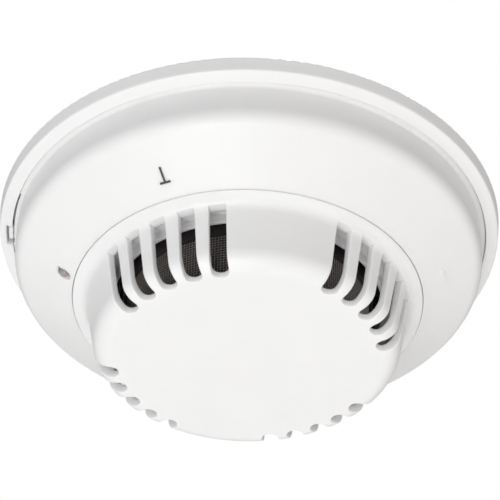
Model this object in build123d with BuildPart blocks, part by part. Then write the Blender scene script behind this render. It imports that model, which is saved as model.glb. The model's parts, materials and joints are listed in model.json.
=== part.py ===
from build123d import *
import os
from math import atan, cos, degrees, hypot, radians, sin, tan

# Ceiling fire detector: a base, a twist-in head with an optical chamber and two
# heat sensing beads, and a slotted dome cover. Millimetres and degrees.
# Z runs up. The ceiling face is z = 0 and everything hangs below it.
# Azimuths are counted from the -Y side towards +X.

os.makedirs("parts", exist_ok=True)

# ------------------------------------------------------------ driving dimensions
base_radius = 77.5  # outer wall of the base
total_depth = 49.8  # ceiling face to the flat face of the dome
shell_wall = 2.0  # wall of head and dome
gap = 0.3  # between pieces that move past each other
close_gap = 0.2  # between round edges that only turn or lift in line with each other
fit = 0.05  # round a screw, pin or blade in its own hole

# base
floor_thick = 2.5
rim_height = 4.84  # upright outer wall
rim_taper = 0.5  # how much the outer wall draws in towards the band
band_width = 3.7  # sloped white band seen round the head
band_drop = 1.46  # how much lower the band's inner edge is
band_wall = 1.3
rim_wall = 1.2
inner_wall = 1.3
wiring_hole_radius = 22.0
wiring_hole_rounding = 0.3
back_pocket_depth = 0.9
back_pocket_count = 12
back_pocket_arc = 23.0

# mounting slots: one pair for 83.3 to 88.9 mm box screws, one for 60 to 70 mm
mount_slot_width = 4.6
wide_slot_spacing = 86.1
wide_slot_length = 7.4
narrow_slot_spacing = 65.0
narrow_slot_length = 9.6

# head shell
lip_width = 1.4
lip_thick = 1.3
lip_recess = 0.8  # how far the lip sits above the band's inner edge
lip_blend = 1.2  # hollow rounding from the lip into the skirt
seam_radius = 53.3  # opening that the dome cover fills
seam_depth = 29.3
corner_depth = 17.6  # where skirt and cone would meet with no rounding
corner_rounding = 5.5
cover_recess = 1.5
deck_thick = 1.6
collar_radius = 41.8
collar_depth = 31.1
collar_wall = 1.0

# dome cover
dome_corner_radius = 45.2  # where wall and face would meet with no rounding
dome_draft = 10.0
dome_rounding = 6.0
dome_inner_rounding = 6.0
flange_thick = 1.25
flange_drop = 0.55  # fall of the flange from its edge to the flare
flange_edge_width = 1.6
flare_rounding = 3.5
face_thick = 2.1
slot_width = 5.1
slot_count = 5
slot_groups = 4
slot_pitch = 11.1
first_group_azimuth = -33.2
slot_end_radius = 39.0
slot_top_depth = 30.9
slot_edge_rounding = 0.3
finger_width = 8.0
finger_thick = 1.4
finger_rise = 7.0
barb = 0.8

# bayonet and back of the head
chassis_wall = 1.6
chassis_plate_thick = 1.6
lug_count = 4
lug_azimuth = 5.0
lug_arc = 10.0
lug_reach = 3.2
lug_thick = 2.0
lug_top_depth = 6.2
ledge_thick = 1.9
bayonet_clearance = 1.4
base_collar_wall = 1.8

# terminals
terminal_azimuths = [-32.0, 0.0, 32.0, 148.0, 180.0, 212.0]
terminal_inset = 6.9  # screw centre inside the collar
clip_inset = 8.5  # clip inside the screw centre
pad_height = 1.5
pad_width = 8.6
strip_thick = 0.8
strip_width = 7.0
clamp_side = 8.0
clamp_thick = 1.0
terminal_head_radius = 3.0
terminal_head_height = 2.4
terminal_shank_radius = 1.75
leaf_thick = 0.6
blade_thick = 0.8
blade_width = 5.0
blade_tail = 0.7

# lock lever
lever_azimuth = -75.5
lever_tip_azimuth = -88.7
lever_tip_start = -84.7
lever_thick = 1.2
lever_eye_radius = 1.1
lever_pin_radius = 0.6
lever_tip_width = 1.1
window_start = -91.2
window_end = -84.3
window_width = 1.8
window_roof = 1.2  # base left above the window
relief_start = -91.0
relief_end = -72.4
relief_depth = 0.4

# circuit board and its parts
board_thick = 1.6
board_edge_inset = 12.2
standoff = 2.5
boss_radius = 2.6
boss_inset = 8.7
boss_azimuths = [60.0, 180.0, 300.0]
shell_screw_radius = 1.4
shell_screw_head_radius = 2.6
shell_screw_head_height = 0.6
shell_screw_cover = 1.2  # plastic left between a screw's end and the cone's wall
post_azimuths = [90.0, 210.0, 330.0]
post_radius = 2.2
post_pin_radius = 0.9
reed_drop = 1.9  # board to the middle of the glass tube
led_azimuth = -78.8
led_inset = 3.0  # outside the seam
led_radius = 1.5
led_height = 3.0
led_hole_radius = 1.95
lens_radius = 1.55
lens_proud = 0.35  # how far the lens stands out of the cone at its middle

# optical chamber, screen and heat sensors
screen_outer_radius = 38.0
screen_band_wall = 1.0
screen_band_depth = 32.0
mesh_thick = 0.3
chamber_floor_depth = 24.0
chamber_floor_thick = 2.0
chamber_wall = 1.5
chamber_cap_thick = 1.6
cap_to_face = 3.3
vane_count = 18
vane_length = 7.0
vane_thick = 1.0
vane_turn = 35.0
optic_radius = 2.5
optic_length = 8.0
optic_distance = 21.0
optic_azimuths = [25.0, 165.0]
bead_radius = 1.1
bead_height = 2.2
bead_depth = 36.0
bead_azimuths = [101.8, -78.2]
lead_radius = 0.25
lead_spread = 1.2

# marks on the cone
mark_azimuth = -24.9
mark_inner_radius = 57.8
mark_length = 4.8
mark_bar = 3.3
mark_stroke = 0.65
mark_depth = 0.4
arrow_azimuth = 80.0
arrow_height = 0.25

# ------------------------------------------------------------ derived dimensions
band_outer_radius = base_radius - rim_taper
band_inner_radius = band_outer_radius - band_width
lip_radius = band_inner_radius - close_gap
skirt_radius = lip_radius - lip_width
rim_inner_radius = band_outer_radius - rim_wall
z_floor = -floor_thick
z_band_inner = -(rim_height + band_drop)
z_lip_bottom = z_band_inner + lip_recess
z_lip_top = z_lip_bottom + lip_thick
z_seam = -seam_depth
cone_slope = (seam_depth - corner_depth) / (skirt_radius - seam_radius)
cone_angle = degrees(atan(cone_slope))
cone_wall_z = shell_wall / cos(radians(cone_angle))
z_deck_bottom = z_seam + cover_recess
z_deck_top = z_deck_bottom + deck_thick
collar_inner_radius = collar_radius - collar_wall

chassis_outer_radius = skirt_radius - shell_wall - gap
chassis_inner_radius = chassis_outer_radius - chassis_wall
lug_inner_radius = chassis_inner_radius - lug_reach
ledge_outer_radius = chassis_inner_radius - bayonet_clearance
collar_outer = lug_inner_radius - bayonet_clearance
collar_inner = collar_outer - base_collar_wall
z_lug_top = -lug_top_depth
z_lug_bottom = z_lug_top - lug_thick
z_ledge_top = z_lug_bottom - gap - 0.1
z_ledge_bottom = z_ledge_top - ledge_thick
z_plate_top = z_ledge_bottom - 1.0
z_plate_bottom = z_plate_top - chassis_plate_thick
z_board_top = z_plate_bottom - standoff
z_board_bottom = z_board_top - board_thick
board_radius = skirt_radius - board_edge_inset
boss_circle = skirt_radius - boss_inset
z_cone_over_boss = z_seam + (boss_circle - seam_radius) * cone_slope + cone_wall_z
shell_screw_length = z_plate_top - z_cone_over_boss - shell_screw_cover
post_circle = board_radius - 7.5

screw_circle = collar_inner - terminal_inset
clip_circle = screw_circle - clip_inset
z_pad = z_floor - pad_height
z_strip = z_pad - strip_thick
z_clamp = z_strip - clamp_thick
leaf_offset = blade_thick / 2 + gap + fit
z_leaf_end = z_plate_top + 1.8
z_blade_top = z_strip - 0.8

led_circle = seam_radius + led_inset
z_lever_top = z_floor - gap
z_lever_bottom = z_lever_top - lever_thick
lever_circle = band_inner_radius + 0.1 + lever_eye_radius

z_face = -total_depth
z_cap_bottom = z_face + cap_to_face
z_cap_top = z_cap_bottom + chamber_cap_thick
z_chamber_floor_top = -chamber_floor_depth
z_chamber_floor = z_chamber_floor_top - chamber_floor_thick
mesh_outer_radius = screen_outer_radius - screen_band_wall - 0.1
mesh_inner_radius = mesh_outer_radius - mesh_thick
chamber_radius = mesh_inner_radius - 0.2
z_screen_top = z_chamber_floor - 0.6
z_optics = (z_chamber_floor + z_cap_top) / 2
bead_circle = (collar_inner_radius + screen_outer_radius) / 2

flange_radius = seam_radius - close_gap
z_flange_top = z_deck_bottom - gap
z_flange_edge = z_flange_top - flange_thick
finger_circle = seam_radius - 5.4
slot_azimuths = [
    first_group_azimuth + 360 / slot_groups * group + slot_pitch * (i - (slot_count - 1) / 2)
    for group in range(slot_groups)
    for i in range(slot_count)
]
finger_azimuths = [first_group_azimuth + 45 + 360 / slot_groups * k for k in range(slot_groups)]
lug_azimuths = [lug_azimuth + 360 / lug_count * k for k in range(lug_count)]


# ------------------------------------------------------------ shared geometry
def outward(azimuth):
    """Unit vector pointing away from the axis."""
    return Vector(sin(radians(azimuth)), -cos(radians(azimuth)), 0)


def section_plane(azimuth):
    """Upright plane through the axis: local x is the radius, local y is Z."""
    direction = outward(azimuth)
    return Plane(origin=(0, 0, 0), x_dir=direction, z_dir=direction.cross(Vector(0, 0, 1)))


def spot(radius, azimuth, z):
    """Level place on a circle, its local x pointing outward."""
    place = outward(azimuth) * radius + Vector(0, 0, z)
    return Plane(origin=place, x_dir=outward(azimuth), z_dir=(0, 0, 1))


def spots(radius, azimuths, z):
    return [spot(radius, azimuth, z).location for azimuth in azimuths]


def ring(r_in, r_out, z_low, z_high, mode=Mode.ADD):
    """Full ring of rectangular section."""
    sector(r_in, r_out, z_low, z_high, 0, 360, mode)


def sector(r_in, r_out, z_low, z_high, start, arc, mode=Mode.ADD):
    """Part of a ring, from one azimuth on through an arc."""
    with BuildSketch(section_plane(start)) as section:
        with Locations(((r_in + r_out) / 2, (z_low + z_high) / 2)):
            Rectangle(r_out - r_in, z_high - z_low)
    revolve(section.sketch, axis=Axis.Z, revolution_arc=arc, mode=mode)


def turned(points, radii, start=0, arc=360, mode=Mode.ADD):
    """Closed outline of (radius, z) points, turned about the axis."""
    with BuildSketch(section_plane(start)) as section:
        with BuildLine():
            FilletPolyline(*points, radius=radii, close=True)
        make_face()
    revolve(section.sketch, axis=Axis.Z, revolution_arc=arc, mode=mode)


def band_z(radius):
    """Height of the base's sloped band at a radius."""
    return -rim_height - (band_outer_radius - radius) * band_drop / band_width


def cone_z(radius):
    """Height of the head's outer cone at a radius."""
    return z_seam + (radius - seam_radius) * cone_slope


def cone_plane(radius, azimuth):
    """Plane lying on the cone, local x running outward up the slope."""
    place = outward(azimuth) * radius + Vector(0, 0, cone_z(radius))
    slope = (outward(azimuth) + Vector(0, 0, cone_slope)).normalized()
    across = outward(azimuth + 90)
    return Plane(origin=place, x_dir=slope, z_dir=across.cross(slope))


def save(part, name):
    part.label = name
    export_step(part, f"parts/{name}.step")


# ------------------------------------------------------------ base plate
with BuildPart() as base_plate:
    turned(
        [
            (wiring_hole_radius, 0),
            (base_radius, 0),
            (band_outer_radius, -rim_height),
            (band_inner_radius, z_band_inner),
            (band_inner_radius, z_floor),
            (wiring_hole_radius, z_floor),
        ],
        [wiring_hole_rounding, 0.4, 0.7, 0.3, 0, wiring_hole_rounding],
    )
    # hollow behind the rim, open to the ceiling; it stops short of the lever's pocket
    hollow_inner = band_inner_radius + inner_wall
    turned(
        [
            (hollow_inner, 1),
            (rim_inner_radius, 1),
            (rim_inner_radius, band_z(rim_inner_radius) + band_wall),
            (hollow_inner, band_z(hollow_inner) + band_wall),
        ],
        [0, 0, 0, 0],
        start=relief_end + 4,
        arc=window_start - 3 + 360 - relief_end - 4,
        mode=Mode.SUBTRACT,
    )
    # pocket that the lock lever lies in, behind the band
    turned(
        [
            (band_inner_radius - 1, z_floor),
            (rim_inner_radius, z_floor),
            (rim_inner_radius, band_z(rim_inner_radius) + band_wall),
            (band_inner_radius - 1, band_z(band_inner_radius - 1) + band_wall),
        ],
        [0, 0, 0, 0],
        start=window_start,
        arc=lever_azimuth + 3.2 - window_start,
        mode=Mode.SUBTRACT,
    )
    # window in the band round the lever's tip, deeper beside the tip
    window_outer_radius = band_inner_radius + window_width
    sector(
        band_inner_radius - 1, window_outer_radius, z_band_inner - 1, z_floor,
        window_start, window_end - window_start, Mode.SUBTRACT,
    )
    sector(
        band_inner_radius + lever_tip_width, window_outer_radius, z_floor - 1, -window_roof,
        window_start, window_end - window_start, Mode.SUBTRACT,
    )
    # pin that carries the lever
    with Locations(spot(lever_circle, lever_azimuth, z_floor)):
        Cylinder(
            lever_pin_radius, floor_thick, align=(Align.CENTER, Align.CENTER, Align.MAX),
        )
    # shallow pockets in the back leave radial ribs
    for k in range(back_pocket_count):
        sector(
            screw_circle - 2, band_inner_radius - 3, -back_pocket_depth, 1,
            k * 360 / back_pocket_count - back_pocket_arc / 2, back_pocket_arc, Mode.SUBTRACT,
        )
    # bayonet collar with its ledges and end stops
    ring(collar_inner, collar_outer, z_ledge_bottom, z_floor)
    for azimuth in lug_azimuths:
        sector(
            collar_outer - 0.5, ledge_outer_radius, z_ledge_bottom, z_ledge_top,
            azimuth - 1, lug_arc + 2.5,
        )
        sector(
            collar_outer - 0.5, ledge_outer_radius, z_ledge_bottom, z_lug_top,
            azimuth + lug_arc + 1, 2,
        )
    # terminal pads, bored for the screws
    with Locations(*spots(screw_circle, terminal_azimuths, z_floor)):
        Box(pad_width, pad_width, pad_height, align=(Align.CENTER, Align.CENTER, Align.MAX))
    with Locations(*spots(screw_circle, terminal_azimuths, z_pad)):
        Cylinder(
            terminal_shank_radius + fit, pad_height + 0.6,
            align=(Align.CENTER, Align.CENTER, Align.MIN), mode=Mode.SUBTRACT,
        )
    # mounting slots
    with BuildSketch(Plane.XY) as slots:
        with Locations((wide_slot_spacing / 2, 0), (-wide_slot_spacing / 2, 0)):
            SlotOverall(wide_slot_length, mount_slot_width)
        with Locations((0, narrow_slot_spacing / 2), (0, -narrow_slot_spacing / 2)):
            SlotOverall(narrow_slot_length, mount_slot_width, rotation=90)
    extrude(amount=-floor_thick - 1, mode=Mode.SUBTRACT)
save(base_plate.part, "base_plate")

# ------------------------------------------------------------ terminals
half_strip = degrees(strip_width / 2 / clip_circle)
strip_inner = clip_circle - leaf_offset - leaf_thick
strip_outer = screw_circle + clamp_side / 2
with BuildPart() as terminal_clips:
    with Locations(*spots(strip_inner, terminal_azimuths, z_pad)):
        Box(
            strip_outer - strip_inner, strip_width, strip_thick,
            align=(Align.MIN, Align.CENTER, Align.MAX),
        )
    for azimuth in terminal_azimuths:
        for start_radius in (strip_inner, clip_circle + leaf_offset):
            sector(
                start_radius, start_radius + leaf_thick, z_leaf_end, z_pad,
                azimuth - half_strip, 2 * half_strip,
            )
    with Locations(*spots(screw_circle, terminal_azimuths, z_pad)):
        Cylinder(terminal_shank_radius + fit, 2 * strip_thick + 1, mode=Mode.SUBTRACT)
save(terminal_clips.part, "terminal_clips")

with BuildPart() as clamp_plates:
    with Locations(*spots(screw_circle, terminal_azimuths, z_strip)):
        Box(clamp_side, clamp_side, clamp_thick, align=(Align.CENTER, Align.CENTER, Align.MAX))
    # turned-down sides that keep a wire under the clamp
    for side in (-1, 1):
        with Locations(*[
            spot(screw_circle, azimuth, z_strip) * Location((0, side * (clamp_side / 2 - 0.4), 0))
            for azimuth in terminal_azimuths
        ]):
            Box(clamp_side, 0.8, clamp_thick + 0.7, align=(Align.CENTER, Align.CENTER, Align.MAX))
    with Locations(*spots(screw_circle, terminal_azimuths, z_strip)):
        Cylinder(terminal_shank_radius + fit, 3 * clamp_thick, mode=Mode.SUBTRACT)
save(clamp_plates.part, "clamp_plates")


def cross_recess(place, radius, depth):
    """Cross cut into a screw head, opening down or up at the given place."""
    with Locations(place):
        Box(2 * radius, radius / 3, 2 * depth, mode=Mode.SUBTRACT)
        Box(radius / 3, 2 * radius, 2 * depth, mode=Mode.SUBTRACT)


z_terminal_head = z_clamp - terminal_head_height
with BuildPart() as terminal_screws:
    with Locations(*spots(screw_circle, terminal_azimuths, z_clamp)):
        Cylinder(
            terminal_head_radius, terminal_head_height,
            align=(Align.CENTER, Align.CENTER, Align.MAX),
        )
    fillet(terminal_screws.edges().group_by(Axis.Z)[0], 0.7)
    with Locations(*spots(screw_circle, terminal_azimuths, z_clamp)):
        Cylinder(
            terminal_shank_radius, z_pad + pad_height - z_clamp,
            align=(Align.CENTER, Align.CENTER, Align.MIN),
        )
    for azimuth in terminal_azimuths:
        cross_recess(spot(screw_circle, azimuth, z_terminal_head).location, 1.7, 1.1)
save(terminal_screws.part, "terminal_screws")

# ------------------------------------------------------------ lock lever
with BuildPart() as lock_lever:
    with Locations(spot(lever_circle, lever_azimuth, z_lever_top)):
        Cylinder(lever_eye_radius, lever_thick, align=(Align.CENTER, Align.CENTER, Align.MAX))
    sector(
        lever_circle - 1.0, lever_circle + 0.2, z_lever_bottom, z_lever_top,
        lever_tip_start - 1, lever_azimuth - lever_tip_start + 1,
    )
    # tip that shows in the window, with the tooth that holds the head
    sector(
        lip_radius, lip_radius + lever_tip_width, z_band_inner + 0.3, z_lever_top,
        lever_tip_azimuth, lever_tip_start - lever_tip_azimuth,
    )
    sector(
        lip_radius - relief_depth + close_gap, lip_radius + 0.2,
        z_lip_bottom + 0.2, z_lip_top - 0.2, lever_tip_start - 2, 2,
    )
    with Locations(spot(lever_circle, lever_azimuth, z_lever_top)):
        Cylinder(lever_pin_radius + fit, 4 * lever_thick, mode=Mode.SUBTRACT)
save(lock_lever.part, "lock_lever")

# ------------------------------------------------------------ head housing
inner_skirt = skirt_radius - shell_wall
z_inner_corner = cone_z(inner_skirt) + cone_wall_z
deck_meets_cone = seam_radius + (z_deck_top - cone_wall_z - z_seam) / cone_slope

# bosses for the chassis screws, cut off along the middle of the cone's wall
boss_near = boss_circle - boss_radius - 1
boss_far = boss_circle + boss_radius + 1
boss_foot = cone_z(boss_near) + cone_wall_z / 2
with BuildPart() as bosses:
    with Locations(*spots(boss_circle, boss_azimuths, z_plate_bottom)):
        Cylinder(
            boss_radius, z_plate_bottom - boss_foot,
            align=(Align.CENTER, Align.CENTER, Align.MAX),
        )
        Cylinder(
            shell_screw_radius + fit, shell_screw_length - chassis_plate_thick + 0.4,
            align=(Align.CENTER, Align.CENTER, Align.MAX), mode=Mode.SUBTRACT,
        )
    turned(
        [
            (boss_near, boss_foot),
            (boss_far, cone_z(boss_far) + cone_wall_z / 2),
            (boss_far, boss_foot - 1),
            (boss_near, boss_foot - 1),
        ],
        [0, 0, 0, 0],
        mode=Mode.SUBTRACT,
    )

with BuildPart() as head_housing:
    turned(
        [
            (lip_radius, z_lip_top),
            (lip_radius, z_lip_bottom),
            (skirt_radius, z_lip_bottom),
            (skirt_radius, -corner_depth),
            (seam_radius, z_seam),
            (seam_radius, z_deck_bottom),
            (collar_radius, z_deck_bottom),
            (collar_radius, -collar_depth),
            (collar_inner_radius, -collar_depth),
            (collar_inner_radius, z_deck_top),
            (deck_meets_cone, z_deck_top),
            (inner_skirt, z_inner_corner),
            (inner_skirt, z_lip_top),
        ],
        [0.15, 0.15, lip_blend, corner_rounding, 0.25, 0, 0.6, 0.2, 0.2, 0, 0,
         corner_rounding - shell_wall, 0],
    )
    # relief in the lip that the lock lever's tooth runs in
    sector(
        lip_radius - relief_depth, lip_radius + 1, z_lip_bottom - 0.1, z_lip_top + 0.1,
        relief_start, relief_end - relief_start, Mode.SUBTRACT,
    )
    add(bosses.part)
    # notches in the deck for the cover's snap fingers
    with Locations(*spots(finger_circle, finger_azimuths, z_deck_top)):
        Box(
            finger_thick + 2 * (barb + gap + 0.1), finger_width + 2, 4 * deck_thick,
            mode=Mode.SUBTRACT,
        )
    # hole for the light pipe, with a key notch at its edge
    with Locations(spot(led_circle, led_azimuth, cone_z(led_circle))):
        Cylinder(led_hole_radius, 4 * shell_wall, mode=Mode.SUBTRACT)
    with Locations(spot(led_circle, led_azimuth, cone_z(led_circle)) * Location((0, 0, 0), (0, 0, 35))):
        Box(
            led_hole_radius + 0.6, 0.7, 4 * shell_wall,
            align=(Align.MIN, Align.CENTER, Align.CENTER), mode=Mode.SUBTRACT,
        )
    # groove for the index mark
    with BuildSketch(cone_plane(mark_inner_radius, mark_azimuth)):
        Rectangle(mark_stroke, mark_bar)
        Rectangle(mark_length, mark_stroke, align=(Align.MIN, Align.CENTER))
    extrude(amount=-mark_depth, mode=Mode.SUBTRACT)
    # small raised arrow showing which way the head turns off
    with BuildSketch(cone_plane(seam_radius + 6.5, arrow_azimuth).offset(-0.3)):
        Rectangle(0.7, 4.0)
        with Locations((0, 2.6)):
            RegularPolygon(1.3, 3, rotation=90)
    extrude(amount=arrow_height + 0.3)
save(head_housing.part, "head_housing")

# ------------------------------------------------------------ index mark inlay
with BuildPart() as index_mark:
    with BuildSketch(cone_plane(mark_inner_radius, mark_azimuth).offset(-mark_depth)):
        Rectangle(mark_stroke, mark_bar)
        Rectangle(mark_length, mark_stroke, align=(Align.MIN, Align.CENTER))
    extrude(amount=mark_depth - 0.08)
save(index_mark.part, "index_mark")

# ------------------------------------------------------------ head chassis
half_blade = degrees(blade_width / 2 / clip_circle)
with BuildPart() as head_chassis:
    ring(chassis_inner_radius, chassis_outer_radius, z_plate_bottom, z_lip_top - 0.2)
    with Locations((0, 0, z_plate_top)):
        Cylinder(
            chassis_outer_radius, chassis_plate_thick,
            align=(Align.CENTER, Align.CENTER, Align.MAX),
        )
    for azimuth in lug_azimuths:
        sector(
            lug_inner_radius, chassis_inner_radius + 0.5, z_lug_bottom, z_lug_top,
            azimuth, lug_arc,
        )
    # posts that the circuit board sits on, with pins through it
    with Locations(*spots(post_circle, post_azimuths, z_plate_bottom)):
        Cylinder(post_radius, standoff, align=(Align.CENTER, Align.CENTER, Align.MAX))
    with Locations(*spots(post_circle, post_azimuths, z_board_top)):
        Cylinder(post_pin_radius, board_thick + 0.8, align=(Align.CENTER, Align.CENTER, Align.MAX))
    # stiffening ribs on the back
    for radius in (16.0, 30.0):
        ring(radius, radius + 1.2, z_plate_top, z_plate_top + 0.8)
    # screw holes and slots for the blades
    with Locations(*spots(boss_circle, boss_azimuths, z_plate_top)):
        Cylinder(shell_screw_radius + fit, 4 * chassis_plate_thick, mode=Mode.SUBTRACT)
    for azimuth in terminal_azimuths:
        sector(
            clip_circle - blade_thick / 2 - fit, clip_circle + blade_thick / 2 + fit,
            z_plate_bottom - 1, z_plate_top + 1,
            azimuth - half_blade - 0.1, 2 * half_blade + 0.2, Mode.SUBTRACT,
        )
save(head_chassis.part, "head_chassis")

# flat heads, low enough to pass under the base's ledges
with BuildPart() as chassis_screws:
    with Locations(*spots(boss_circle, boss_azimuths, z_plate_top)):
        Cylinder(
            shell_screw_head_radius, shell_screw_head_height,
            align=(Align.CENTER, Align.CENTER, Align.MIN),
        )
        Cylinder(
            shell_screw_radius, shell_screw_length,
            align=(Align.CENTER, Align.CENTER, Align.MAX),
        )
    for azimuth in boss_azimuths:
        place = spot(boss_circle, azimuth, z_plate_top + shell_screw_head_height)
        cross_recess(place.location, 1.3, 0.4)
save(chassis_screws.part, "chassis_screws")

with BuildPart() as contact_blades:
    for azimuth in terminal_azimuths:
        sector(
            clip_circle - blade_thick / 2, clip_circle + blade_thick / 2,
            z_board_bottom - blade_tail, z_blade_top, azimuth - half_blade, 2 * half_blade,
        )
save(contact_blades.part, "contact_blades")

# ------------------------------------------------------------ circuit board
with BuildPart() as circuit_board:
    with Locations((0, 0, z_board_top)):
        Cylinder(board_radius, board_thick, align=(Align.CENTER, Align.CENTER, Align.MAX))
    with Locations(*spots(post_circle, post_azimuths, z_board_top)):
        Cylinder(post_pin_radius + fit, 4 * board_thick, mode=Mode.SUBTRACT)
    for azimuth in terminal_azimuths:
        sector(
            clip_circle - blade_thick / 2 - fit, clip_circle + blade_thick / 2 + fit,
            z_board_bottom - 1, z_board_top + 1,
            azimuth - half_blade - 0.1, 2 * half_blade + 0.2, Mode.SUBTRACT,
        )
    with Locations(*[
        spot(bead_circle, azimuth, z_board_top) * Location((0, side * lead_spread / 2, 0))
        for azimuth in bead_azimuths
        for side in (-1, 1)
    ]):
        Cylinder(lead_radius + fit, 4 * board_thick, mode=Mode.SUBTRACT)
save(circuit_board.part, "circuit_board")


def chips(name, places, length, width, height):
    """Box-shaped board parts hanging from the board's lower face."""
    with BuildPart() as chip:
        with Locations(*[spot(radius, azimuth, z_board_bottom) for radius, azimuth in places]):
            Box(length, width, height, align=(Align.CENTER, Align.CENTER, Align.MAX))
    save(chip.part, name)


parts_circle = (board_radius + collar_inner_radius) / 2
inner_parts_circle = collar_inner_radius + 2.6
outer_parts_circle = board_radius - 2.6
chips("microcontroller", [(parts_circle, 58.0)], 9.0, 9.0, 1.2)
chips("amplifier_chip", [(parts_circle, 82.0)], 5.0, 4.0, 1.5)
chips("alarm_relay", [(parts_circle, 125.0)], 7.6, 15.0, 5.6)
chips("surge_diodes", [(outer_parts_circle, -6.0), (outer_parts_circle, 4.0)], 2.6, 4.4, 2.2)
chips(
    "chip_resistors",
    [(inner_parts_circle, 40.0 + 7.0 * k) for k in range(8)]
    + [(outer_parts_circle, 200.0 + 7.0 * k) for k in range(6)],
    2.0, 1.25, 0.55,
)

with BuildPart() as electrolytic_capacitors:
    with Locations(*spots(parts_circle, [235.0, 250.0], z_board_bottom)):
        Cylinder(3.15, 6.6, align=(Align.CENTER, Align.CENTER, Align.MAX))
    fillet(electrolytic_capacitors.edges().group_by(Axis.Z)[0], 0.5)
save(electrolytic_capacitors.part, "electrolytic_capacitors")

# glass tube lying along the rim of the board, on two bent leads
reed_plane = spot(outer_parts_circle, mark_azimuth, z_board_bottom - reed_drop)
reed_axis = Plane(origin=reed_plane.origin, x_dir=(0, 0, 1), z_dir=reed_plane.y_dir)
with BuildPart() as reed_switch:
    with Locations(reed_axis):
        Cylinder(1.1, 12.0)
        Cylinder(0.28, 16.0)
    for side in (-1, 1):
        with Locations(reed_plane * Location((0, side * 7.7, -0.4))):
            Cylinder(0.34, reed_drop + 0.4, align=(Align.CENTER, Align.CENTER, Align.MIN))
save(reed_switch.part, "reed_switch")

# ------------------------------------------------------------ alarm indicator
with BuildPart() as status_led:
    with Locations(spot(led_circle, led_azimuth, z_board_bottom)):
        Cylinder(led_radius, led_height - led_radius, align=(Align.CENTER, Align.CENTER, Align.MAX))
    with Locations(spot(led_circle, led_azimuth, z_board_bottom - led_height + led_radius)):
        Sphere(led_radius)
    split(bisect_by=Plane.XY.offset(z_board_bottom), keep=Keep.BOTTOM)
save(status_led.part, "status_led")

z_pipe_end = cone_z(led_circle) - lens_proud
pipe_cup_radius = led_radius + 0.9
with BuildPart() as led_light_pipe:
    with Locations(spot(led_circle, led_azimuth, z_board_bottom)):
        Cylinder(
            pipe_cup_radius, led_height + 1.0, align=(Align.CENTER, Align.CENTER, Align.MAX),
        )
        Cylinder(
            lens_radius, z_board_bottom - z_pipe_end,
            align=(Align.CENTER, Align.CENTER, Align.MAX),
        )
    fillet(led_light_pipe.edges().group_by(Axis.Z)[0], 0.85 * lens_radius)
    with Locations(spot(led_circle, led_azimuth, z_board_bottom)):
        Cylinder(
            led_radius + 0.1, led_height + 0.2,
            align=(Align.CENTER, Align.CENTER, Align.MAX), mode=Mode.SUBTRACT,
        )
save(led_light_pipe.part, "led_light_pipe")

# ------------------------------------------------------------ optical chamber
vane_circle = chamber_radius - vane_length / 2 - 0.6
with BuildPart() as chamber_base:
    with Locations((0, 0, z_chamber_floor_top)):
        Cylinder(
            chamber_radius, chamber_floor_thick, align=(Align.CENTER, Align.CENTER, Align.MAX),
        )
    ring(chamber_radius - chamber_wall, chamber_radius, z_chamber_floor, z_board_bottom)
    with BuildSketch(Plane.XY.offset(z_chamber_floor)):
        with PolarLocations(vane_circle, vane_count):
            Rectangle(vane_length, vane_thick, rotation=vane_turn)
            with Locations((-vane_length / 2 + 1.2, -2.6)):
                Rectangle(vane_thick, 2.0, rotation=vane_turn)
    extrude(amount=z_cap_top - z_chamber_floor)
save(chamber_base.part, "chamber_base")

with BuildPart() as chamber_cap:
    with Locations((0, 0, z_cap_top)):
        Cylinder(
            chamber_radius, chamber_cap_thick, align=(Align.CENTER, Align.CENTER, Align.MAX),
        )
    ring(10.0, 11.2, z_cap_top, z_cap_top + 1.5)
save(chamber_cap.part, "chamber_cap")

pod_side = 2 * optic_radius + 3.0
with BuildPart() as optics_holder:
    with Locations(*spots(optic_distance, optic_azimuths, z_chamber_floor)):
        Box(
            optic_length - 1.0, pod_side, z_chamber_floor - z_optics + optic_radius + 1.2,
            align=(Align.CENTER, Align.CENTER, Align.MAX),
        )
    for azimuth in optic_azimuths:
        bore = Plane(
            origin=outward(azimuth) * optic_distance + Vector(0, 0, z_optics),
            x_dir=(0, 0, 1), z_dir=outward(azimuth),
        )
        with Locations(bore):
            Cylinder(optic_radius + fit, 3 * optic_length, mode=Mode.SUBTRACT)
save(optics_holder.part, "optics_holder")


def optic(name, azimuth):
    """Round five millimetre emitter or receiver aimed at the axis."""
    aim = outward(azimuth)
    seat = Plane(
        origin=aim * optic_distance + Vector(0, 0, z_optics), x_dir=(0, 0, 1), z_dir=-aim,
    )
    with BuildPart() as device:
        with Locations(seat):
            Cylinder(
                optic_radius, optic_length / 2 + 1, align=(Align.CENTER, Align.CENTER, Align.MAX),
            )
            Cylinder(optic_radius, 1.0, align=(Align.CENTER, Align.CENTER, Align.MIN))
        with Locations(seat.offset(1.0)):
            Sphere(optic_radius)
    save(device.part, name)


optic("emitter_led", optic_azimuths[0])
optic("photodiode", optic_azimuths[1])

# ------------------------------------------------------------ insect screen
screen_band_inner = screen_outer_radius - screen_band_wall
z_screen_band = -screen_band_depth
z_screen_end = z_cap_bottom - 0.8
with BuildPart() as screen_frame:
    ring(screen_band_inner, screen_outer_radius, z_screen_band, z_screen_top)
    ring(chamber_radius - 3, screen_outer_radius, z_screen_end, z_cap_bottom)
    for azimuth in finger_azimuths:
        sector(
            screen_band_inner, screen_outer_radius, z_screen_end, z_screen_top,
            azimuth - 1.5, 3,
        )
save(screen_frame.part, "screen_frame")

with BuildPart() as insect_screen:
    ring(mesh_inner_radius, mesh_outer_radius, z_cap_bottom, z_screen_top)
save(insect_screen.part, "insect_screen")

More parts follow.
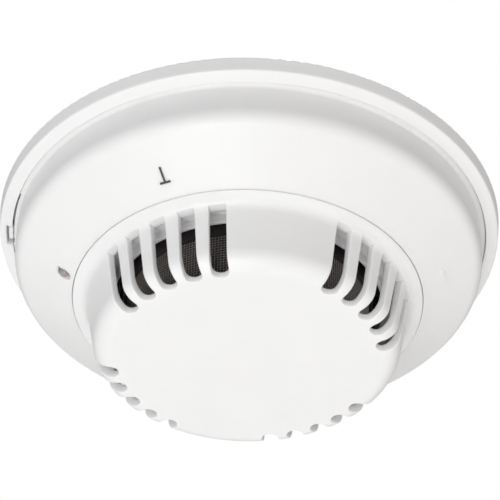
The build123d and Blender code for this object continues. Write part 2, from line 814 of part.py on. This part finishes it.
# ------------------------------------------------------------ heat sensing beads
z_bead_top = -bead_depth
with BuildPart() as thermistor_beads:
    with Locations(*spots(bead_circle, bead_azimuths, z_bead_top)):
        Cylinder(bead_radius, bead_height, align=(Align.CENTER, Align.CENTER, Align.MAX))
    fillet(thermistor_beads.edges().group_by(Axis.Z)[0], 0.8)
save(thermistor_beads.part, "thermistor_beads")

with BuildPart() as thermistor_leads:
    with Locations(*[
        spot(bead_circle, azimuth, z_bead_top) * Location((0, side * lead_spread / 2, 0))
        for azimuth in bead_azimuths
        for side in (-1, 1)
    ]):
        Cylinder(
            lead_radius, z_board_top + 0.4 - z_bead_top,
            align=(Align.CENTER, Align.CENTER, Align.MIN),
        )
save(thermistor_leads.part, "thermistor_leads")

# ------------------------------------------------------------ dome cover
draft_run = tan(radians(dome_draft))
z_flare = z_flange_edge - flange_drop


def dome_wall_radius(z):
    """Outer radius of the dome's drafted wall at a height."""
    return dome_corner_radius + (z - z_face) * draft_run


# the flange slopes on inward until it would meet the wall
flange_slope = flange_drop / flange_edge_width
flange_inner = flange_radius - flange_edge_width
flare_radius = (
    dome_wall_radius(z_flare) + flange_slope * flange_inner * draft_run
) / (1 + flange_slope * draft_run)
z_flare_corner = z_flare - flange_slope * (flange_inner - flare_radius)
inner_shift = shell_wall / cos(radians(dome_draft))
z_inner_face = z_face + face_thick
slot_middle = (slot_end_radius + slot_width / 2 + seam_radius + 8) / 2
slot_run = 2 * (slot_middle - slot_end_radius - slot_width / 2)
rounding_centre_radius = dome_corner_radius - dome_rounding * tan(radians(45 - dome_draft / 2))
z_rounding_centre = z_face + dome_rounding


def on_outside(edge):
    """True for an edge on the dome's outer surface, below the slots' tops."""
    middle = edge.position_at(0.5)
    start, end = edge.position_at(0), edge.position_at(1)
    radius = hypot(middle.X, middle.Y)
    if middle.Z < z_face + 0.001:
        return True
    if middle.Z > -slot_top_depth - 0.001 or hypot(start.X - end.X, start.Y - end.Y) < 0.001:
        return False
    if middle.Z < z_rounding_centre - 0.8:
        from_centre = hypot(radius - rounding_centre_radius, middle.Z - z_rounding_centre)
        return from_centre > dome_rounding - 0.6 and radius > rounding_centre_radius - 0.5
    return radius > dome_wall_radius(middle.Z) - 0.7


def slot_outer_edges(faces):
    """Outer edges of the slots' round ends and straight sides."""
    ends = faces.filter_by(
        lambda f: f.geom_type == GeomType.CYLINDER and abs(f.radius - slot_width / 2) < 0.001
    )
    sides = faces.filter_by(
        lambda f: f.geom_type == GeomType.PLANE and abs(f.normal_at().Z) < 0.001
    )
    found = []
    for edge in (ends + sides).edges().filter_by(on_outside):
        if not any(edge.is_same(other) for other in found):
            found.append(edge)
    return found


with BuildPart() as dome_cover:
    turned(
        [
            (flange_radius, z_flange_top),
            (flange_radius, z_flange_edge),
            (flare_radius, z_flare_corner),
            (dome_corner_radius, z_face),
            (0, z_face),
            (0, z_inner_face),
            (dome_wall_radius(z_inner_face) - inner_shift, z_inner_face),
            (dome_wall_radius(z_flange_top) - inner_shift, z_flange_top),
        ],
        [0.2, 0.25, flare_rounding, dome_rounding, 0, 0, dome_inner_rounding, 0],
    )
    # slots with a round inner end, cut straight up through face and wall
    with BuildSketch(Plane.XY.offset(-slot_top_depth)):
        with Locations(*[
            Location(
                (slot_middle * outward(azimuth).X, slot_middle * outward(azimuth).Y),
                azimuth - 90,
            )
            for azimuth in slot_azimuths
        ]):
            SlotCenterToCenter(slot_run, slot_width)
    extrude(amount=z_face + slot_top_depth - 1, mode=Mode.SUBTRACT)
    fillet(slot_outer_edges(dome_cover.faces()), slot_edge_rounding)
    # snap fingers with small outward barbs
    with Locations(*spots(finger_circle, finger_azimuths, z_flange_top - 0.3)):
        Box(
            finger_thick, finger_width, finger_rise + 0.3,
            align=(Align.CENTER, Align.CENTER, Align.MIN),
        )
    with Locations(*spots(finger_circle, finger_azimuths, z_deck_top + 1.0)):
        Box(
            finger_thick / 2 + barb, finger_width, 1.2,
            align=(Align.MIN, Align.CENTER, Align.MIN),
        )
save(dome_cover.part, "dome_cover")
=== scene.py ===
import json
import math

import bpy
from mathutils import Matrix, Vector


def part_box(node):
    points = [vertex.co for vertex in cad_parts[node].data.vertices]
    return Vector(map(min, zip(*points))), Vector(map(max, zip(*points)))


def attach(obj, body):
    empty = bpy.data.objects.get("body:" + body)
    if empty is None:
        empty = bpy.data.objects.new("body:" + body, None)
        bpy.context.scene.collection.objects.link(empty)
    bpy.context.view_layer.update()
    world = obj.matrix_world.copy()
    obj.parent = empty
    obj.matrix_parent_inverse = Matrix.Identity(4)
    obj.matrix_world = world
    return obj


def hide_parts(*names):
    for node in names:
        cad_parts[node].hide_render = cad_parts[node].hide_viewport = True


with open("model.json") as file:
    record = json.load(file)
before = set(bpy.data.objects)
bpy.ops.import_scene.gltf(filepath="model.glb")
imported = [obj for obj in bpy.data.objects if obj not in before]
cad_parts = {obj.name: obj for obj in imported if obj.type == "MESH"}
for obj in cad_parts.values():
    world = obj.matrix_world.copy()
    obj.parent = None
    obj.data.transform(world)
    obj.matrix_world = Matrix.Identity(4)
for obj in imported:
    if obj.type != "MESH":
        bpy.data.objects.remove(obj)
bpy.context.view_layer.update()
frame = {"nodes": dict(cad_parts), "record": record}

# Ceiling fire detector, seen from below. The ceiling face is z = 0 and the
# detector hangs below it. Azimuths are counted from the -Y side towards +X.

MM = 0.001
nodes = frame["nodes"]
scene = bpy.context.scene
FULL_TURN = 2 * math.pi


# ---------------------------------------------------------------- colour and node helpers
def srgb(hex_colour):
    """A hex colour as linear RGBA."""
    out = []
    for i in (1, 3, 5):
        c = int(hex_colour[i:i + 2], 16) / 255
        out.append(c / 12.92 if c <= 0.04045 else ((c + 0.055) / 1.055) ** 2.4)
    return (*out, 1.0)


def add(tree, kind, inputs=None, **settings):
    """Adds a node, sets its properties, then its inputs: a value, or a socket to link."""
    node = tree.nodes.new(kind)
    for name, value in settings.items():
        setattr(node, name, value)
    for key, value in (inputs or {}).items():
        if isinstance(value, bpy.types.NodeSocket):
            tree.links.new(value, node.inputs[key])
        else:
            node.inputs[key].default_value = value
    return node


def new_material(name):
    """An empty node material with its Principled shader and Object coordinates."""
    material = bpy.data.materials.new(name)
    material.use_nodes = True
    tree = material.node_tree
    tree.nodes.clear()
    shader = add(tree, "ShaderNodeBsdfPrincipled")
    add(tree, "ShaderNodeOutputMaterial", {"Surface": shader.outputs["BSDF"]})
    place = add(tree, "ShaderNodeTexCoord").outputs["Object"]
    return material, tree, shader, place


def noise(tree, place, size_mm, detail=2.0, roughness=0.5):
    """Noise whose lumps are about size_mm across."""
    return add(tree, "ShaderNodeTexNoise", {
        "Vector": place, "Scale": 1 / (size_mm * MM), "Detail": detail, "Roughness": roughness,
    })


def ramp(tree, factor, low, high, start=0.3, end=0.7):
    """Two-colour ramp between two hex colours."""
    node = add(tree, "ShaderNodeValToRGB", {"Fac": factor})
    node.color_ramp.elements[0].position = start
    node.color_ramp.elements[0].color = srgb(low)
    node.color_ramp.elements[1].position = end
    node.color_ramp.elements[1].color = srgb(high)
    return node.outputs["Color"]


def spread(tree, factor, low, high):
    """Maps a 0 to 1 factor onto a range."""
    return add(tree, "ShaderNodeMapRange", {
        "Value": factor, "To Min": low, "To Max": high,
    }).outputs["Result"]


def bump(tree, height, depth_mm, strength=1.0):
    """Normal of a surface raised by up to depth_mm."""
    return add(tree, "ShaderNodeBump", {
        "Height": height, "Distance": depth_mm * MM, "Strength": strength,
    }).outputs["Normal"]


# ---------------------------------------------------------------- materials
def moulded_plastic(name, light, dark, roughness, grain_mm=0.35, grain_depth=0.012, ior=1.53,
                    see_in_mm=0.0):
    """Injection-moulded ABS: satin from a spark-eroded mould, with a fine even
    grain, faint flow clouding in the colour and slightly uneven gloss. Light
    colours let some light through a thin wall, over about see_in_mm."""
    material, tree, shader, place = new_material(name)
    clouds = noise(tree, place, 18.0, detail=3.0).outputs["Fac"]
    grain = noise(tree, place, grain_mm, detail=3.0, roughness=0.6).outputs["Fac"]
    tree.links.new(ramp(tree, clouds, dark, light), shader.inputs["Base Color"])
    tree.links.new(spread(tree, clouds, roughness - 0.04, roughness + 0.05),
                   shader.inputs["Roughness"])
    tree.links.new(bump(tree, grain, grain_depth), shader.inputs["Normal"])
    shader.inputs["IOR"].default_value = ior
    if see_in_mm:
        shader.inputs["Subsurface Weight"].default_value = 1.0
        shader.inputs["Subsurface Radius"].default_value = (1.0, 1.0, 1.0)
        shader.inputs["Subsurface Scale"].default_value = see_in_mm * MM
    return material


def drawn_metal(name, light, dark, roughness, line_mm=0.15):
    """Rolled or drawn metal strip: fine lines one way, dull bright surface."""
    material, tree, shader, place = new_material(name)
    stretch = add(tree, "ShaderNodeMapping", {"Vector": place, "Scale": (1.0, 1.0, 0.06)})
    lines = noise(tree, stretch.outputs["Vector"], line_mm, detail=2.0).outputs["Fac"]
    tree.links.new(ramp(tree, lines, dark, light), shader.inputs["Base Color"])
    tree.links.new(spread(tree, lines, roughness - 0.06, roughness + 0.08),
                   shader.inputs["Roughness"])
    tree.links.new(bump(tree, lines, 0.006), shader.inputs["Normal"])
    shader.inputs["Metallic"].default_value = 1.0
    return material


def clear_plastic(name, light, dark, roughness, transmission):
    """Cast glass, epoxy or polycarbonate: glossy, tinted, lets some light through."""
    material, tree, shader, place = new_material(name)
    clouds = noise(tree, place, 1.2, detail=2.0).outputs["Fac"]
    tree.links.new(ramp(tree, clouds, dark, light), shader.inputs["Base Color"])
    tree.links.new(spread(tree, clouds, roughness, roughness + 0.05), shader.inputs["Roughness"])
    shader.inputs["Transmission Weight"].default_value = transmission
    shader.inputs["IOR"].default_value = 1.58
    return material


def board_laminate():
    """Glass-epoxy board under green solder mask: glossy, with copper tracks raised
    a little under the mask and the weave just showing in the gloss."""
    weave_mm = 6.0  # drawn coarser than the 0.5 mm of the real cloth, so that it shows
    track_mm = 5.0
    material, tree, shader, place = new_material("solder_masked_laminate")
    weave = add(tree, "ShaderNodeTexWave", {
        "Vector": place, "Scale": 1 / (weave_mm * MM) / FULL_TURN, "Distortion": 0.5,
    }).outputs["Fac"]
    tracks = add(tree, "ShaderNodeTexVoronoi", {
        "Vector": place, "Scale": 1 / (track_mm * MM),
    }, feature="DISTANCE_TO_EDGE", distance="MANHATTAN").outputs["Distance"]
    tree.links.new(ramp(tree, tracks, "#1E5C38", "#123F26", 0.02, 0.12),
                   shader.inputs["Base Color"])
    tree.links.new(spread(tree, weave, 0.28, 0.36), shader.inputs["Roughness"])
    tree.links.new(bump(tree, tracks, 0.03), shader.inputs["Normal"])
    shader.inputs["IOR"].default_value = 1.5
    return material


# mouldings: satin shells that glow a little at thin walls, duller inner parts
white_abs = moulded_plastic("moulded_white_abs", "#F7F7F7", "#F4F4F4", 0.40, see_in_mm=1.2)
grey_abs = moulded_plastic("moulded_pale_grey_abs", "#DCDBD8", "#D6D5D2", 0.48)
black_abs = moulded_plastic("moulded_black_abs", "#3A3436", "#322D2F", 0.42)
# small moulded parts: matt black chip bodies, an off-white relay case
chip_epoxy = moulded_plastic("transfer_moulded_epoxy", "#1D1D1F", "#17171A", 0.55, 0.12, 0.01)
relay_case = moulded_plastic("moulded_pbt_case", "#D9D6CB", "#D0CDC2", 0.5)
# paint and coating: flat dark mark, slightly shiny wire
mark_ink = moulded_plastic("dark_grey_marking_ink", "#434A48", "#3A403F", 0.6, 0.2, 0.01)
mesh_wire = moulded_plastic("coated_screen_wire", "#A19B97", "#87817D", 0.38, 0.15, 0.01)
# metals: warm brass springs, cool bright zinc, soft grey capacitor cans
brass = drawn_metal("rolled_brass_strip", "#D8B25A", "#C79F49", 0.3)
zinc_steel = drawn_metal("zinc_plated_steel", "#C9CBCC", "#B2B5B8", 0.32)
can_aluminium = drawn_metal("drawn_aluminium_can", "#D3D4D6", "#C2C3C6", 0.28)
laminate = board_laminate()
# see-through parts: thin glass, tinted epoxy, a lens that looks half frosted
tube_glass = clear_plastic("reed_tube_glass", "#E4EFEA", "#D9E6E0", 0.03, 0.85)
bead_glass = clear_plastic("thermistor_bead_glass", "#5A3420", "#3E2416", 0.08, 0.3)
red_lens = clear_plastic("diffused_red_lens", "#A81B16", "#8C1511", 0.12, 0.2)
pipe_clear = clear_plastic("clear_light_pipe", "#F0E8E4", "#DCD2CE", 0.06, 0.6)
blue_lens = clear_plastic("infrared_emitter_epoxy", "#34447C", "#2A3768", 0.08, 0.4)
dark_lens = clear_plastic("infrared_filter_epoxy", "#15151A", "#101014", 0.08, 0.1)

finishes = {
    "white_abs": white_abs, "grey_abs": grey_abs, "black_abs": black_abs,
    "brass_strip": brass, "zinc_steel": zinc_steel, "board_laminate": laminate,
    "chip_epoxy": chip_epoxy, "capacitor_can": can_aluminium, "relay_case": relay_case,
    "clear_glass": tube_glass, "red_lens": red_lens, "clear_pipe": pipe_clear,
    "blue_lens": blue_lens, "dark_lens": dark_lens, "screen_wire": mesh_wire,
    "bead_glass": bead_glass, "mark_ink": mark_ink,
}
for entry in frame["record"]["subparts"]:
    mesh = nodes[entry["node"]].data
    mesh.materials.clear()
    mesh.materials.append(finishes[entry["material_slot"]])


# ---------------------------------------------------------------- woven insect screen
def woven_screen_tree(wire_finish):
    """Upright wires round a drum with level wires that pass over and under them."""
    tree = bpy.data.node_groups.new("woven_screen", "GeometryNodeTree")
    face = tree.interface
    face.new_socket("Geometry", in_out="OUTPUT", socket_type="NodeSocketGeometry")
    for name, kind in (
        ("Drum Radius", "NodeSocketFloat"), ("Bottom", "NodeSocketFloat"),
        ("Top", "NodeSocketFloat"), ("Wire Radius", "NodeSocketFloat"),
        ("Weave Depth", "NodeSocketFloat"), ("Uprights", "NodeSocketInt"),
        ("Rings", "NodeSocketInt"),
    ):
        face.new_socket(name, in_out="INPUT", socket_type=kind)
    given = tree.nodes.new("NodeGroupInput").outputs
    profile = add(tree, "GeometryNodeCurvePrimitiveCircle", {
        "Resolution": 3, "Radius": given["Wire Radius"],
    }).outputs["Curve"]

    # uprights: one straight wire, copied to points round the drum
    foot = add(tree, "ShaderNodeCombineXYZ", {"Z": given["Bottom"]}).outputs["Vector"]
    head = add(tree, "ShaderNodeCombineXYZ", {"Z": given["Top"]}).outputs["Vector"]
    wire = add(tree, "GeometryNodeCurvePrimitiveLine", {"Start": foot, "End": head})
    upright = add(tree, "GeometryNodeCurveToMesh", {
        "Curve": wire.outputs["Curve"], "Profile Curve": profile, "Fill Caps": True,
    })
    round_drum = add(tree, "GeometryNodeMeshCircle", {
        "Vertices": given["Uprights"], "Radius": given["Drum Radius"],
    })
    uprights = add(tree, "GeometryNodeInstanceOnPoints", {
        "Points": round_drum.outputs["Mesh"], "Instance": upright.outputs["Mesh"],
    })

    # rings: a point at each upright, pushed in and out by turns to weave
    loop = add(tree, "GeometryNodeCurvePrimitiveCircle", {
        "Resolution": given["Uprights"], "Radius": given["Drum Radius"],
    })
    index = add(tree, "GeometryNodeInputIndex").outputs["Index"]
    by_turns = add(tree, "ShaderNodeMath", {0: index, 1: 2.0}, operation="FLOORED_MODULO")
    swing = add(tree, "ShaderNodeMapRange", {
        "Value": by_turns.outputs["Value"], "To Min": -1.0, "To Max": 1.0,
    })
    reach = add(tree, "ShaderNodeMath", {
        0: swing.outputs["Result"], 1: given["Weave Depth"],
    }, operation="MULTIPLY")
    place = add(tree, "GeometryNodeInputPosition").outputs["Position"]
    outward = add(tree, "ShaderNodeVectorMath", {0: place}, operation="NORMALIZE")
    push = add(tree, "ShaderNodeVectorMath", {
        0: outward.outputs["Vector"], "Scale": reach.outputs["Value"],
    }, operation="SCALE")
    wavy = add(tree, "GeometryNodeSetPosition", {
        "Geometry": loop.outputs["Curve"], "Offset": push.outputs["Vector"],
    })
    ring = add(tree, "GeometryNodeCurveToMesh", {
        "Curve": wavy.outputs["Geometry"], "Profile Curve": profile,
    })
    stack = add(tree, "GeometryNodeMeshLine", {
        "Count": given["Rings"], "Start Location": foot, "Offset": head,
    }, mode="END_POINTS")
    turn = add(tree, "ShaderNodeMath", {0: FULL_TURN, 1: given["Uprights"]}, operation="DIVIDE")
    odd = add(tree, "ShaderNodeMath", {0: index, 1: 2.0}, operation="FLOORED_MODULO")
    ring_turn = add(tree, "ShaderNodeMath", {
        0: odd.outputs["Value"], 1: turn.outputs["Value"],
    }, operation="MULTIPLY")
    spin = add(tree, "ShaderNodeCombineXYZ", {"Z": ring_turn.outputs["Value"]})
    rings = add(tree, "GeometryNodeInstanceOnPoints", {
        "Points": stack.outputs["Mesh"], "Instance": ring.outputs["Mesh"],
        "Rotation": spin.outputs["Vector"],
    })
    both = tree.nodes.new("GeometryNodeJoinGeometry")
    tree.links.new(uprights.outputs["Instances"], both.inputs["Geometry"])
    tree.links.new(rings.outputs["Instances"], both.inputs["Geometry"])
    real = add(tree, "GeometryNodeRealizeInstances", {"Geometry": both.outputs["Geometry"]})
    finish = add(tree, "GeometryNodeSetMaterial", {
        "Geometry": real.outputs["Geometry"], "Material": wire_finish,
    })
    add(tree, "NodeGroupOutput", {"Geometry": finish.outputs["Geometry"]})
    return tree


def grow(name, tree, sizes, body, replaced):
    """Runs a geometry tree with the given sizes and keeps the result as a plain mesh."""
    seed = bpy.data.objects.new(name + "_seed", bpy.data.meshes.new(name + "_seed"))
    scene.collection.objects.link(seed)
    modifier = seed.modifiers.new("grow", "NODES")
    modifier.node_group = tree
    for item in tree.interface.items_tree:
        if item.in_out == "INPUT" and item.name in sizes:
            modifier[item.identifier] = sizes[item.name]
    seed.update_tag()
    bpy.context.view_layer.update()
    mesh = bpy.data.meshes.new_from_object(
        seed.evaluated_get(bpy.context.evaluated_depsgraph_get())
    )
    mesh.name = name
    bpy.data.objects.remove(seed)
    piece = bpy.data.objects.new(name, mesh)
    scene.collection.objects.link(piece)
    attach(piece, body)
    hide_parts(replaced)


def insect_screen():
    """Fine mesh round the chamber. The pitch is 0.9 mm, a little coarser than
    real 0.5 mm mesh, so that the weave still shows."""
    low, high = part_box("insect_screen")
    wire = 0.13 * MM
    pitch = 0.9 * MM
    drum = high[0] - 2.2 * wire
    uprights = 2 * round(math.pi * drum / pitch)
    rings = round((high[2] - low[2]) / pitch)
    sizes = {
        "Drum Radius": drum, "Bottom": low[2] + wire, "Top": high[2] - wire,
        "Wire Radius": wire, "Weave Depth": wire, "Uprights": uprights, "Rings": rings,
    }
    grow("woven_screen", woven_screen_tree(mesh_wire), sizes, "head",
         "insect_screen")


insect_screen()


# ---------------------------------------------------------------- studio
def soft_light(name, place, aim, size, watts, colour="#FFFFFF"):
    """Round area light, unseen by the camera, turned to face a point."""
    light = bpy.data.lights.new(name, "AREA")
    light.shape = "DISK"
    light.size = size
    light.energy = watts
    light.color = srgb(colour)[:3]
    lamp = bpy.data.objects.new(name, light)
    lamp.location = place
    lamp.rotation_euler = (Vector(aim) - Vector(place)).to_track_quat("-Z", "Y").to_euler()
    lamp.visible_camera = False
    scene.collection.objects.link(lamp)


def studio():
    """A pale room: floor at room height below, pale world, soft lights."""
    room_height = 1.55
    half = 40.0  # half the floor's width
    wall_glow = 0.3
    overhead_strength = 1.62
    key_watts = 7.5
    warm_watts = 0.7
    detector = (0, 0, -0.02)
    floor_mesh = bpy.data.meshes.new("floor")
    floor_mesh.from_pydata(
        [(-half, -half, -room_height), (half, -half, -room_height),
         (half, half, -room_height), (-half, half, -room_height)], [], [(0, 1, 2, 3)],
    )
    floor = bpy.data.objects.new("floor", floor_mesh)
    floor_paint, tree, shader, place = new_material("pale_floor_paint")
    tint = noise(tree, place, 300.0).outputs["Fac"]
    tree.links.new(ramp(tree, tint, "#F6F6F5", "#F8F8F7"), shader.inputs["Base Color"])
    shader.inputs["Roughness"].default_value = 0.9
    floor_mesh.materials.append(floor_paint)
    scene.collection.objects.link(floor)

    # The room walls look white, but light the detector less than they show.
    world = bpy.data.worlds.new("pale_room")
    world.use_nodes = True
    tree = world.node_tree
    tree.nodes.clear()
    seen = add(tree, "ShaderNodeLightPath").outputs["Is Camera Ray"]
    wall_light = add(tree, "ShaderNodeBackground", {
        "Color": srgb("#FFFFFF"), "Strength": wall_glow,
    }).outputs["Background"]
    wall_look = add(tree, "ShaderNodeBackground", {
        "Color": srgb("#FFFFFF"), "Strength": 1.0,
    }).outputs["Background"]
    mixed = add(tree, "ShaderNodeMixShader", {0: seen, 1: wall_light, 2: wall_look})
    add(tree, "ShaderNodeOutputWorld", {"Surface": mixed.outputs["Shader"]})
    scene.world = world

    overhead = bpy.data.lights.new("overhead", "SUN")
    overhead.energy = overhead_strength
    overhead.angle = math.radians(20)
    lamp = bpy.data.objects.new("overhead", overhead)
    lamp.rotation_euler = (math.radians(-25), math.radians(8), 0)
    scene.collection.objects.link(lamp)

    soft_light("key_below_front", (-0.38, -0.76, -1.19), detector, 0.9, key_watts)
    soft_light("warm_bounce", (1.3, -0.5, -0.6), detector, 0.8, warm_watts, "#FFD8B4")
    scene.view_settings.view_transform = "Standard"
    scene.view_settings.look = "None"


def camera():
    """Looks up at the detector from the side of the index mark."""
    rise = 0.69548
    roll = 0.021574
    distance = 0.700
    target = Vector((0.38 * MM, 0, -7.18 * MM))
    forward = Vector((0, math.cos(rise), math.sin(rise)))
    level = Vector((1, 0, 0))
    upright = Vector((0, -math.sin(rise), math.cos(rise)))
    right = level * math.cos(roll) + upright * math.sin(roll)
    up = upright * math.cos(roll) - level * math.sin(roll)
    data = bpy.data.cameras.new("camera")
    data.sensor_width = 36.0
    data.lens = 162.6
    data.clip_end = 150.0
    view = bpy.data.objects.new("camera", data)
    turn = Matrix((right, up, -forward)).transposed().to_4x4()
    view.matrix_world = Matrix.Translation(target - forward * distance) @ turn
    scene.collection.objects.link(view)
    scene.camera = view


studio()
camera()
